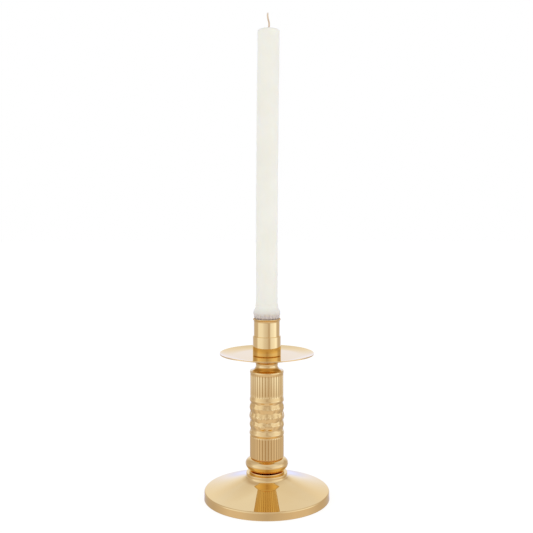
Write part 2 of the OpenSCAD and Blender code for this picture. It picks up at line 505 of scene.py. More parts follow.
def relief_tree() -> bpy.types.NodeTree:
    """Builds the tree that cuts grooves and raises bosses round a turned mesh.

    The mesh carries four numbers on each vertex: groove_mask, boss_mask, stagger and weave. The tree adds a
    fifth, cavity_shade, which is 1 at the bottom of a groove and sets how much painted shade the brass gets
    there.

    Returns:
        The tree.
    """
    g, start, end = new_group(
        "relief", "GeometryNodeTree",
        {"Grooves": 36.0, "Groove Depth": 0.0004, "Groove Share": 0.3, "Crown": 0.0001,
         "Bosses": 12.0, "Boss Height": 0.0005, "Weave": 0.0006},
        {"Geometry": "NodeSocketGeometry"})

    def number(name: str) -> bpy.types.NodeSocket:
        """Reads a number that the mesh carries.

        Args:
            name: the number's name.

        Returns:
            Its socket.
        """
        made = g.node("GeometryNodeInputNamedAttribute", data_type="FLOAT")
        made.inputs["Name"].default_value = name
        return made.outputs["Attribute"]

    x, y, _ = g.split(g.node("GeometryNodeInputPosition").outputs[0])
    turn = g.math("DIVIDE", g.math("ARCTAN2", y, x), 2 * math.pi)

    def from_middle(count: object, shift: object) -> bpy.types.NodeSocket:
        """Measures how far a place is from the middle of its repeat.

        Args:
            count: the number of repeats round the axis.
            shift: what they are shifted by, as a share of one repeat.

        Returns:
            The socket of a number that is 0 in the middle and 1 at the edge.
        """
        phase = g.math("ADD", g.product(turn, count), shift)
        part = g.math("FRACT", g.math("ADD", phase, 0.5))
        return g.product(g.math("ABSOLUTE", g.math("SUBTRACT", part, 0.5)), 2.0)

    reed = from_middle(start.outputs["Grooves"], 0.0)
    edge = g.math("SUBTRACT", 1.0, start.outputs["Groove Share"])
    slope = g.math("DIVIDE", g.math("SUBTRACT", reed, edge), start.outputs["Groove Share"], clamp=True)
    hollow = g.math("POWER", g.math("SINE", g.product(slope, math.pi / 2)), 1.5)
    cut = g.product(hollow, start.outputs["Groove Depth"])
    crown = g.product(reed, reed, start.outputs["Crown"])
    lowered = g.product(g.math("ADD", cut, crown), number("groove_mask"))

    boss = from_middle(start.outputs["Bosses"], number("stagger"))
    pillow = g.math("SUBTRACT", 1.0, g.product(boss, boss))
    raised = g.product(pillow, start.outputs["Boss Height"], number("boss_mask"))
    outwards = g.math("DIVIDE", g.math("SUBTRACT", raised, lowered), g.radius(x, y))

    swing = g.math("COSINE", g.product(turn, start.outputs["Bosses"], 2 * math.pi))
    upwards = g.product(swing, start.outputs["Weave"], number("weave"))

    move = g.node("GeometryNodeSetPosition")
    g.feed(move.inputs["Geometry"], start.outputs["Geometry"])
    g.feed(move.inputs["Offset"], g.join(g.product(x, outwards), g.product(y, outwards), upwards))
    # painted shade: marks the groove bottoms, which the brass darkens
    note = g.node("GeometryNodeStoreNamedAttribute", data_type="FLOAT", domain="POINT")
    g.feed(note.inputs["Geometry"], move.outputs[0])
    note.inputs["Name"].default_value = "cavity_shade"
    g.feed(note.inputs["Value"], g.product(hollow, number("groove_mask")))
    return finished(g, start, end, note.outputs[0])


def braid_tree() -> bpy.types.NodeTree:
    """Builds the tree that makes a three-strand braid which runs up the Z axis.

    Returns:
        The tree.
    """
    g, start, end = new_group(
        "braid", "GeometryNodeTree",
        {"Foot": 0.1, "Length": 0.3, "Strand": 0.0004, "Swing": 0.0005, "Pitch": 0.003, "Points": 1000.0},
        {"Geometry": "NodeSocketGeometry"})
    line = g.node("GeometryNodeMeshLine", mode="OFFSET")
    g.feed(line.inputs["Count"], start.outputs["Points"])
    index = g.node("GeometryNodeInputIndex").outputs[0]
    share = g.math("DIVIDE", index, g.math("SUBTRACT", start.outputs["Points"], 1.0))
    climb = g.math("MULTIPLY", share, start.outputs["Length"])
    turns = g.product(g.math("DIVIDE", climb, start.outputs["Pitch"]), 2 * math.pi)
    rope = g.node("GeometryNodeJoinGeometry")
    for strand in range(3):
        phase = g.math("ADD", turns, strand * 2 * math.pi / 3)
        across = g.product(g.math("SINE", phase), start.outputs["Swing"])
        deep = g.product(g.math("SINE", g.product(phase, 2.0)), start.outputs["Swing"], 0.6)
        place = g.join(across, deep, g.math("ADD", start.outputs["Foot"], climb))
        move = g.node("GeometryNodeSetPosition")
        g.feed(move.inputs["Geometry"], line.outputs[0])
        g.feed(move.inputs["Position"], place)
        curve = g.node("GeometryNodeMeshToCurve")
        g.feed(curve.inputs[0], move.outputs[0])
        ring = g.node("GeometryNodeCurvePrimitiveCircle", mode="RADIUS")
        ring.inputs["Resolution"].default_value = 8
        g.feed(ring.inputs["Radius"], start.outputs["Strand"])
        tube = g.node("GeometryNodeCurveToMesh")
        g.feed(tube.inputs["Curve"], curve.outputs[0])
        g.feed(tube.inputs["Profile Curve"], ring.outputs[0])
        tube.inputs["Fill Caps"].default_value = True
        g.feed(rope.inputs[0], tube.outputs[0])
    return finished(g, start, end, rope.outputs[0])


# ---------------------------------------------------------------- shared shader groups


def turning_group() -> bpy.types.NodeTree:
    """Builds the group for the fine rings that a lathe and a polishing wheel leave.

    Returns:
        The group; its Height varies with radius and height, its Streak is 0 to 1.
    """
    g, start, end = new_group(
        "turning_marks", "ShaderNodeTree", {"Density": 2600.0, "Wander": 60.0},
        {"Height": "NodeSocketFloat", "Streak": "NodeSocketFloat"})
    x, y, z = g.split(start.outputs["Place"])
    section = g.join(g.radius(x, y), 0.0, z)
    fine = g.noise(section, start.outputs["Density"], detail=3.0)
    drift = g.noise(start.outputs["Place"], start.outputs["Wander"])
    g.feed(end.inputs["Height"], g.product(fine, drift))
    g.feed(end.inputs["Streak"], g.ease(fine, 0.35, 0.7))
    return g.tree


def handling_group() -> bpy.types.NodeTree:
    """Builds the group for faint smears and cloudy patches from handling.

    Returns:
        The group; its Smear and its Patch are 0 to 1.
    """
    g, start, end = new_group(
        "handling_marks", "ShaderNodeTree", {"Smear Size": 70.0, "Patch Size": 22.0},
        {"Smear": "NodeSocketFloat", "Patch": "NodeSocketFloat"})
    smear = g.noise(start.outputs["Place"], start.outputs["Smear Size"], detail=5.0, roughness=0.6)
    smear.node.inputs["Distortion"].default_value = 1.2
    patch = g.noise(start.outputs["Place"], start.outputs["Patch Size"], detail=3.0)
    g.feed(end.inputs["Smear"], g.ease(smear, 0.45, 0.8))
    g.feed(end.inputs["Patch"], g.ease(patch, 0.35, 0.7))
    return g.tree


def speckle_group() -> bpy.types.NodeTree:
    """Builds the group for grain: casting skin, felt fibres or cotton, by its sizes.

    Returns:
        The group; its Grain and its Cloud are 0 to 1.
    """
    g, start, end = new_group(
        "speckle", "ShaderNodeTree", {"Grain Size": 900.0, "Cloud Size": 60.0},
        {"Grain": "NodeSocketFloat", "Cloud": "NodeSocketFloat"})
    grain = g.noise(start.outputs["Place"], start.outputs["Grain Size"], detail=6.0, roughness=0.7)
    cloud = g.noise(start.outputs["Place"], start.outputs["Cloud Size"], detail=3.0)
    g.feed(end.inputs["Grain"], g.ease(grain, 0.3, 0.75))
    g.feed(end.inputs["Cloud"], g.ease(cloud, 0.3, 0.7))
    return g.tree


GROUPS: dict[str, bpy.types.NodeTree] = {}


class Finish:
    """A material under construction: its graph, its Principled shader and the place it reads."""

    def __init__(self, name: str) -> None:
        """Starts a material with a Principled shader that reads Object coordinates.

        Args:
            name: the material's name.
        """
        self.material = bpy.data.materials.new(name)
        self.material.use_nodes = True
        self.graph = Graph(self.material.node_tree)
        self.shader = self.material.node_tree.nodes["Principled BSDF"]
        self.place = self.graph.node("ShaderNodeTexCoord").outputs["Object"]

    def effect(self, name: str, **values: float) -> bpy.types.Node:
        """Places a shared group.

        Args:
            name: the group's name.
            values: its inputs, with an underscore for each space.

        Returns:
            The group node.
        """
        made = self.graph.node("ShaderNodeGroup", node_tree=GROUPS[name])
        self.graph.feed(made.inputs["Place"], self.place)
        for key, value in values.items():
            made.inputs[key.replace("_", " ")].default_value = value
        return made

    def number(self, name: str) -> bpy.types.NodeSocket:
        """Reads a vertex number of the piece, 0 where it has none."""
        return self.graph.node("ShaderNodeAttribute", attribute_name=name).outputs["Fac"]

    def set(self, **values: object) -> None:
        """Sets or links inputs of the shader, with an underscore for each space in a name."""
        for key, value in values.items():
            self.graph.feed(self.shader.inputs[key.replace("_", " ")], value)

    def bump(self, height: bpy.types.NodeSocket, depth: float,
             normal: bpy.types.NodeSocket | None = None) -> bpy.types.NodeSocket:
        """Adds a Bump node.

        Args:
            height: the socket that gives the height, 0 to 1.
            depth: what a height of 1 is worth, in metres.
            normal: a normal from an earlier bump.

        Returns:
            The normal's socket.
        """
        made = self.graph.node("ShaderNodeBump")
        made.inputs["Strength"].default_value = 1.0
        made.inputs["Distance"].default_value = depth
        self.graph.feed(made.inputs["Height"], height)
        if normal is not None:
            self.graph.feed(made.inputs["Normal"], normal)
        return made.outputs[0]


@dataclass(frozen=True)
class PolishedBrass:
    """Mirror-polished brass with faint turning rings, smears, patches, painted shade in its recesses and
    chased bosses.

    It reads two vertex numbers where a piece has them: cavity_shade darkens the colour as painted shade, and
    boss_mask dents.
    """

    name: str = "mirror_brass"
    tone: Colour = (0.83, 0.555, 0.18, 1.0)
    deep_tone: Colour = (0.81, 0.525, 0.16, 1.0)
    edge_tone: Colour = (1.0, 1.0, 0.84, 1.0)
    gloss: float = 0.02
    dull: float = 0.05
    ring_depth: float = 1.2e-7
    # painted shade: the dark brown laid into groove bottoms and coves, and how much of it shows
    painted_shade_tone: Colour = (0.32, 0.17, 0.05, 1.0)
    painted_shade_share: float = 0.5
    chasing_size: float = 420.0
    chasing_depth: float = 5e-4

    def build(self) -> bpy.types.Material:
        """Builds the finish.

        Returns:
            The material.
        """
        f = Finish(self.name)
        g = f.graph
        rings = f.effect("turning_marks", Density=2600.0, Wander=60.0)
        marks = f.effect("handling_marks", Smear_Size=70.0, Patch_Size=22.0)
        # painted shade: the colour turns towards the dark shade tone where the piece's cavity number is high
        painted_shade = g.math("MULTIPLY", f.number("cavity_shade"), self.painted_shade_share, clamp=True)
        unshaded = g.mix(marks.outputs["Patch"], self.tone, self.deep_tone)
        chased = g.product(g.noise(f.place, self.chasing_size, detail=1.0), f.number("boss_mask"))
        dulling = g.math("ADD", g.product(marks.outputs["Smear"], 0.7),
                         g.product(rings.outputs["Streak"], 0.3))
        f.set(Base_Color=g.mix(painted_shade, unshaded, self.painted_shade_tone), Metallic=1.0,
              Specular_Tint=self.edge_tone,
              Roughness=g.math("MULTIPLY_ADD", dulling, self.dull - self.gloss, self.gloss),
              Normal=f.bump(chased, self.chasing_depth, f.bump(rings.outputs["Height"], self.ring_depth)))
        return f.material


@dataclass(frozen=True)
class CandleWax:
    """Dense white candle wax with soft streaks and a dull sheen.

    Just above the socket its colour is darkened as painted shade: fully at socket_shade_z, and no more at
    unshaded_z.
    """

    name: str = "dense_wax"
    tone: Colour = (0.90, 0.885, 0.80, 1.0)
    cloudy_tone: Colour = (0.875, 0.86, 0.765, 1.0)
    # painted shade just above the socket: its tone, the height where it is full, where it is gone, and its
    # fade below
    socket_shade_tone: Colour = (0.58, 0.5, 0.46, 1.0)
    socket_shade_z: float = 0.185
    unshaded_z: float = 0.2
    socket_shade_depth: float = 0.008

    def build(self) -> bpy.types.Material:
        """Builds the finish.

        Returns:
            The material.
        """
        f = Finish(self.name)
        g = f.graph
        f.set(Subsurface_Weight=0.35, Subsurface_Radius=(1.0, 0.85, 0.6), Subsurface_Scale=0.004,
              IOR=1.44)
        stretch = g.node("ShaderNodeMapping")
        g.feed(stretch.inputs["Vector"], f.place)
        stretch.inputs["Scale"].default_value = (1.0, 1.0, 0.12)
        streak = g.noise(stretch.outputs[0], 260.0, detail=4.0)
        grain = f.effect("speckle", Grain_Size=1500.0, Cloud_Size=45.0)
        z = g.split(f.place)[2]
        # painted shade: darkest just above the socket mouth, gone higher up, fading to a quarter below
        unshaded = g.math("MAXIMUM", g.ease(z, self.socket_shade_z, self.unshaded_z),
                       g.ease(z, self.socket_shade_z, self.socket_shade_z - self.socket_shade_depth, (0.0, 0.75)))
        body = g.mix(grain.outputs["Cloud"], self.tone, self.cloudy_tone)
        f.set(Base_Color=g.mix(unshaded, self.socket_shade_tone, body),
              Roughness=g.ease(streak, 0.3, 0.7, (0.36, 0.5)),
              Normal=f.bump(grain.outputs["Grain"], 8e-6, f.bump(streak, 6e-5)))
        return f.material


@dataclass(frozen=True)
class WaxedCotton:
    """Braided cotton dipped in wax, paler towards its tip."""

    name: str = "waxed_cotton"
    tone: Colour = (0.70, 0.52, 0.36, 1.0)
    pale_tone: Colour = (0.80, 0.66, 0.50, 1.0)
    tip_tone: Colour = (0.88, 0.82, 0.72, 1.0)
    tip_z: float = 0.494
    tip_h: float = 0.004

    def build(self) -> bpy.types.Material:
        """Builds the finish.

        Returns:
            The material.
        """
        f = Finish(self.name)
        g = f.graph
        grain = f.effect("speckle", Grain_Size=5000.0, Cloud_Size=400.0)
        tip = g.ease(g.split(f.place)[2], self.tip_z - self.tip_h, self.tip_z)
        tan = g.mix(grain.outputs["Cloud"], self.tone, self.pale_tone)
        f.set(Base_Color=g.mix(tip, tan, self.tip_tone),
              Roughness=g.ease(grain.outputs["Grain"], 0.0, 1.0, (0.55, 0.8)), Sheen_Weight=0.2,
              Normal=f.bump(grain.outputs["Grain"], 4e-5))
        return f.material


@dataclass(frozen=True)
class Felt:
    """Dense pressed felt."""

    name: str = "pressed_felt"
    tone: Colour = (0.018, 0.045, 0.026, 1.0)
    pale_tone: Colour = (0.045, 0.10, 0.06, 1.0)

    def build(self) -> bpy.types.Material:
        """Builds the finish.

        Returns:
            The material.
        """
        f = Finish(self.name)
        g = f.graph
        grain = f.effect("speckle", Grain_Size=1400.0, Cloud_Size=120.0)
        f.set(Base_Color=g.mix(grain.outputs["Grain"], self.tone, self.pale_tone),
              Roughness=g.ease(grain.outputs["Cloud"], 0.0, 1.0, (0.88, 1.0)), Sheen_Weight=0.5,
              Sheen_Roughness=0.5, Normal=f.bump(grain.outputs["Grain"], 3e-4))
        return f.material


@dataclass(frozen=True)
class BareMetal:
    """Plain metal of the hidden pieces: cast iron or zinc-plated steel."""

    name: str
    tone: Colour
    dark_tone: Colour
    metallic: float
    roughness: Point
    grain_size: float
    grain_depth: float

    def build(self) -> bpy.types.Material:
        """Builds the finish.

        Returns:
            The material.
        """
        f = Finish(self.name)
        g = f.graph
        grain = f.effect("speckle", Grain_Size=self.grain_size, Cloud_Size=180.0)
        f.set(Base_Color=g.mix(grain.outputs["Cloud"], self.tone, self.dark_tone), Metallic=self.metallic,
              Roughness=g.ease(grain.outputs["Cloud"], 0.0, 1.0, self.roughness),
              Normal=f.bump(grain.outputs["Grain"], self.grain_depth))
        return f.material


# ---------------------------------------------------------------- sub-assemblies


def extent(node: str) -> tuple[float, float, float]:
    """Outer radius, lowest and highest point of a CAD node, in millimetres."""
    low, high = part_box(node)
    return high.x / MM, low.z / MM, high.z / MM


def mount(thing: bpy.types.Object, body: str, slot: Slot, material: bpy.types.Material,
          *nodes: str) -> None:
    """Dresses a piece, ties it to its body and hides the CAD nodes that it stands for.

    Args:
        thing: the piece.
        body: the CAD body that it rides on.
        slot: its material slot in the record; not used.
        material: its material.
        nodes: the CAD nodes that it replaces.
    """
    if not thing.data.materials:
        thing.data.materials.append(material)
    thing.data.materials[0] = material
    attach(thing, body)
    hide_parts(*nodes)
    LOG.info("%s: %d faces, stands for %s", thing.name, len(thing.data.polygons), ", ".join(nodes))


@dataclass
class Base:
    """Spun base with its felt pad."""

    brass: bpy.types.Material
    felt: bpy.types.Material
    rim_h: float = 8.7
    rim_round: float = 1.5
    rim_lean: float = 0.35
    slope: float = 12.0
    disc_curve: float = 212.0
    bell_slope: float = 22.3
    sweep_slope: float = 32.8
    cove_r: float = 2.6
    top_r: float = 21.4
    sheet: float = 1.2
    hole_r: float = 3.25
    top_round: float = 0.8
    foot_round: float = 0.6
    felt_round: float = 0.5
    felt_edge: float = 0.1

    def side(self, inset: float, radius: float) -> list[Point]:
        """Half section of the base's side, from its narrow top to its rim.

        Args:
            inset: how far inside the outer skin the section lies.
            radius: outer radius of the base.

        Returns:
            The section's points, in millimetres.
        """
        tilt = math.radians(self.slope)
        rim = (radius - self.rim_lean - self.rim_round, self.rim_h - self.rim_round * math.cos(tilt))
        crest = (rim[0] + self.rim_round * math.sin(tilt), self.rim_h)
        bell = math.radians(self.bell_slope)
        steep = math.radians(self.sweep_slope)
        disc = (crest[0] + self.disc_curve * math.sin(tilt), crest[1] + self.disc_curve * math.cos(tilt))
        foot = (disc[0] - self.disc_curve * math.sin(bell), disc[1] - self.disc_curve * math.cos(bell))
        sweep_r = ((foot[0] - self.cove_r * (1 - math.sin(steep)) - self.top_r)
                   / (math.sin(steep) - math.sin(bell)))
        sweep = (foot[0] + sweep_r * math.sin(bell), foot[1] + sweep_r * math.cos(bell))
        offset = sweep_r - self.cove_r
        cove = (sweep[0] - offset * math.sin(steep), sweep[1] - offset * math.cos(steep))
        small, wide, flat = self.cove_r + inset, sweep_r + inset, self.disc_curve + inset
        shoulder = self.rim_round - inset
        return (arc(cove, (small, small), 180, 270 - self.sweep_slope, 16)[:-1]
                + arc(sweep, (wide, wide), 270 - self.sweep_slope, 270 - self.bell_slope, 16)[:-1]
                + arc(disc, (flat, flat), 270 - self.bell_slope, 270 - self.slope, 36)[:-1]
                + arc(rim, (shoulder, shoulder), 90 - self.slope, 0, 10))

    def build(self) -> None:
        """Builds the shell and the felt."""
        radius, low, high = extent("base_shell")
        inner = self.side(self.sheet, radius)[::-1]
        top, foot = self.top_round, self.foot_round
        outline = ([(self.hole_r, high)] + arc((self.top_r - top, high - top), (top, top), 90, 0, 6)
                   + self.side(0.0, radius)
                   + arc((radius - foot, low + foot), (foot, foot), 0, -90, 6)
                   + [(radius - self.sheet, low)] + inner
                   + [(self.top_r - self.sheet, high - self.sheet), (self.hole_r, high - self.sheet)])
        shell = turned("base_shell_skin", supported(outline), 320)
        mount(shell, STICK, Slot.BRASS, self.brass, "base_shell")
        felt_r, felt_low, felt_high = extent("base_felt")
        corners = [(0.0, felt_low, 0.0), (felt_r, felt_low, self.felt_round),
                   (felt_r, felt_high, self.felt_edge), (0.0, felt_high, 0.0)]
        pad = turned("felt_pad", supported(soften(corners), 0.3, 4.0), 128)
        mount(pad, STICK, Slot.FELT, self.felt, "base_felt")


@dataclass
class Column:
    """Collar, bead, reeded sleeve and neck."""

    brass: bpy.types.Material
    relief: bpy.types.NodeTree
    bead_mid: float = 37.0
    bead_depth: float = 9.85
    seat_r: float = 16.3
    hole_r: float = 3.25
    spigot_r: float = 8.0
    reed_r: float = 17.5
    bore_r: float = 14.0
    band_h: float = 2.6
    waist_r: float = 11.4
    waist_h: float = 0.5
    cove: Point = (6.0, 5.1)
    flare: Point = (3.6, 4.2)
    foot_r: float = 16.9
    cove_shade: float = 0.6
    grooves: int = 36
    bosses: int = 12
    groove_depth: float = 0.45
    groove_share: float = 0.32
    crown: float = 0.1
    boss_h: float = 0.5
    weave_h: float = 0.45
    plain_r: float = 17.05
    crests: list[Point] = field(default_factory=lambda: [
        (17.05, 64.6), (17.75, 60.1), (16.8, 57.0), (17.5, 52.5), (16.95, 48.1), (17.55, 43.4),
        (16.95, 38.1), (17.5, 35.3), (16.9, 29.7), (17.96, 25.5)])
    ledge: tuple[float, float, float] = (24.5, 23.6, 22.9)
    boss_rows: list[tuple[float, float, float]] = field(default_factory=lambda: [
        (52.5, 4.4, 0.5), (43.4, 5.0, 0.0), (35.3, 4.4, 0.5)])
    weave_marks: list[Point] = field(default_factory=lambda: [
        (60.1, 0.0), (57.0, -1.0), (52.5, 0.0), (48.1, 1.0), (43.4, 0.0), (38.1, -1.0), (35.3, 0.0),
        (29.7, 1.0), (25.5, 0.0)])

    def collar(self) -> None:
        """Builds the thin ring on top of the base."""
        radius, low, high = extent("base_collar")
        bore = self.spigot_r + 0.05
        corners = [(bore, low, 0.0), (radius, low, 0.35), (radius, high, 0.5), (bore, high, 0.0)]
        ring = turned("collar_ring", supported(soften(corners)))
        mount(ring, STICK, Slot.BRASS, self.brass, "base_collar")

    def bead(self) -> None:
        """Builds the round bead under the sleeve."""
        radius, low, high = extent("bead")
        foot = extent("base_collar")[2]
        seat = extent("reeded_sleeve")[1]
        centre = (radius - self.bead_depth, self.bead_mid)
        up, down = seat - self.bead_mid, self.bead_mid - foot
        stop = math.degrees(math.acos((self.seat_r - centre[0]) / self.bead_depth))
        outline = ([(self.hole_r, low), (self.spigot_r, low), (self.spigot_r, foot)]
                   + arc(centre, (self.bead_depth, down), -90, 0, 30)
                   + arc(centre, (self.bead_depth, up), 3, stop, 20)
                   + [(self.seat_r, seat), (self.bore_r, seat), (self.bore_r, high), (self.hole_r, high)])
        mount(turned("turned_bead", supported(outline)), STICK, Slot.BRASS, self.brass, "bead")

    def sleeve(self) -> None:
        """Builds the reeded sleeve with its rings and rows of bosses."""
        _, low, high = extent("reeded_sleeve")
        length = high - low
        core = self.reed_r
        side = [(core - 0.45, 0.0), (core - 0.15, 0.25)]
        over, inner, under = self.ledge
        side += [(core, z) for z in np.linspace(0.6, under - 0.3, 26)]
        side += [(core - 0.12, under - 0.1), (core - 0.5, under + 0.05), (core - 0.5, inner - 0.05)]
        side += [(self.crests[-1][0] - 0.2, over - 0.1), (self.crests[-1][0] - 0.04, over + 0.2)]
        side += wave(self.crests[::-1], 14)
        side += [(self.plain_r, z) for z in np.linspace(65.2, length - self.band_h - 0.9, 22)]
        top = length - self.band_h
        side += [(17.2, top - 0.3), (core - 0.2, top), (core - 0.05, top + 0.35), (core, top + 0.9),
                 (core, length - 1.1), (core - 0.06, length - 0.7), (core - 0.25, length - 0.3),
                 (self.foot_r, length)]
        outline = [(r, z + low) for r, z in side] + [(self.bore_r, high), (self.bore_r, low)]
        raw = turned("sleeve_relief", outline, self.grooves * 12)
        spots = places(raw)
        z = spots[:, 2] - low
        outer = (np.hypot(spots[:, 0], spots[:, 1]) > self.bore_r + 0.5).astype(np.float32)
        lower = step_up(z, -1.0, 0.4) * (1 - step_up(z, under - 1.2, under - 0.1))
        upper = step_up(z, 63.6, 65.6) * (1 - step_up(z, top - 1.2, top - 0.1))
        rows = [np.clip(1 - ((z - at) / half) ** 2, 0, 1) for at, half, _ in self.boss_rows]
        nearest = np.argmin([abs(z - at) for at, _, _ in self.boss_rows], axis=0)
        shifts = np.array([shift for _, _, shift in self.boss_rows])
        marks = self.weave_marks[::-1]
        sway = np.interp(z, [m[0] for m in marks], [m[1] for m in marks], left=0, right=0)
        store(raw, "groove_mask", outer * np.maximum(lower, upper))
        store(raw, "boss_mask", outer * np.max(rows, axis=0))
        store(raw, "stagger", shifts[nearest])
        store(raw, "weave", outer * sway)
        sleeve = grow(raw, self.relief, {
            "Grooves": float(self.grooves), "Groove Depth": self.groove_depth * MM,
            "Groove Share": self.groove_share, "Crown": self.crown * MM, "Bosses": float(self.bosses),
            "Boss Height": self.boss_h * MM, "Weave": self.weave_h * MM, "Material": self.brass})
        sleeve.name = "reeded_column"
        smooth(sleeve, 50.0)
        mount(sleeve, STICK, Slot.BRASS, self.brass, "reeded_sleeve")

    def neck(self) -> None:
        """Builds the spool between the sleeve and the pan."""
        _, low, high = extent("neck")
        seat = extent("reeded_sleeve")[2]
        cove = (self.waist_r + self.cove[0], seat + self.cove[1])
        flare = (self.waist_r + self.flare[0], cove[1] + self.waist_h)
        start = math.degrees(math.acos((cove[0] - self.foot_r) / self.cove[0]))
        outline = ([(0.0, low), (self.bore_r, low), (self.bore_r, seat), (self.foot_r, seat)]
                   + arc(cove, self.cove, 180 + start, 180, 22)
                   + arc(flare, self.flare, 180, 90, 22)
                   + [(flare[0], high), (0.0, high)])
        spool = turned("neck_spool", supported(outline))
        # painted shade in the lower cove of the neck: full near its foot, gone by the middle of the cove
        clear = step_up(places(spool)[:, 2], seat + 1.5, cove[1])
        store(spool, "cavity_shade", self.cove_shade * (1 - clear))
        mount(spool, STICK, Slot.BRASS, self.brass, "neck")

    def build(self) -> None:
        """Builds the column from the base up."""
        self.collar()
        self.bead()
        self.sleeve()
        self.neck()


@dataclass
class Socket:
    """Drip pan, cup and socket tube."""

    brass: bpy.types.Material
    pan_t: float = 0.9
    flat_r: float = 32.0
    pan_rise: float = 2.6
    foot_round: float = 1.0
    hole_r: float = 2.75
    tube_r: float = 13.4
    tube_bore_r: float = 12.2
    floor_t: float = 3.0
    flare_h: float = 3.6
    edge_t: float = 0.9
    lip_round: float = 0.35

    def pan(self) -> None:
        """Builds the spun pan."""
        radius, low, _ = extent("drip_pan")
        run = radius - self.flat_r
        curve = (run**2 + self.pan_rise**2) / (2 * self.pan_rise)
        lift = math.degrees(math.asin(run / curve))
        middle = (self.flat_r, low + curve)
        inner = curve - self.pan_t
        outline = ([(self.hole_r, low)] + arc(middle, (curve, curve), -90, lift - 90, 24)
                   + arc(middle, (inner, inner), lift - 90, -90, 24) + [(self.hole_r, low + self.pan_t)])
        pan = turned("drip_pan_skin", supported(outline, 0.25, 2.0), 320)
        mount(pan, STICK, Slot.BRASS, self.brass, "drip_pan")

    def cup(self) -> None:
        """Builds the turned cup that stands on the pan."""
        radius, low, high = extent("socket_cup")
        floor = low + self.floor_t
        corners = [(self.hole_r, low, 0.0), (radius, low, self.foot_round), (radius, high, self.lip_round),
                   (self.tube_r, high, 0.0), (self.tube_r, floor, 0.0), (self.hole_r, floor, 0.0)]
        cup = turned("socket_cup_skin", supported(soften(corners)))
        mount(cup, STICK, Slot.BRASS, self.brass, "socket_cup")

    def tube(self) -> None:
        """Builds the socket tube with its flared mouth."""
        radius, low, high = extent("socket_tube")
        flare = high - self.flare_h
        edge = radius - self.edge_t
        half = self.edge_t / 2
        outline = ([(self.tube_bore_r, low), (self.tube_r, low)]
                   + arc((radius, flare), (radius - self.tube_r, self.flare_h - 1.0), 180, 100, 12)
                   + arc((radius - half, high - half), (half, half), -30, 180, 12)
                   + arc((edge, flare), (edge - self.tube_bore_r, self.flare_h - 1.2), 100, 180, 12))
        tube = turned("socket_tube_skin", supported(outline))
        mount(tube, STICK, Slot.BRASS, self.brass, "socket_tube")

    def build(self) -> None:
        """Builds the pan and the two tiers of the socket."""
        self.pan()
        self.cup()
        self.tube()


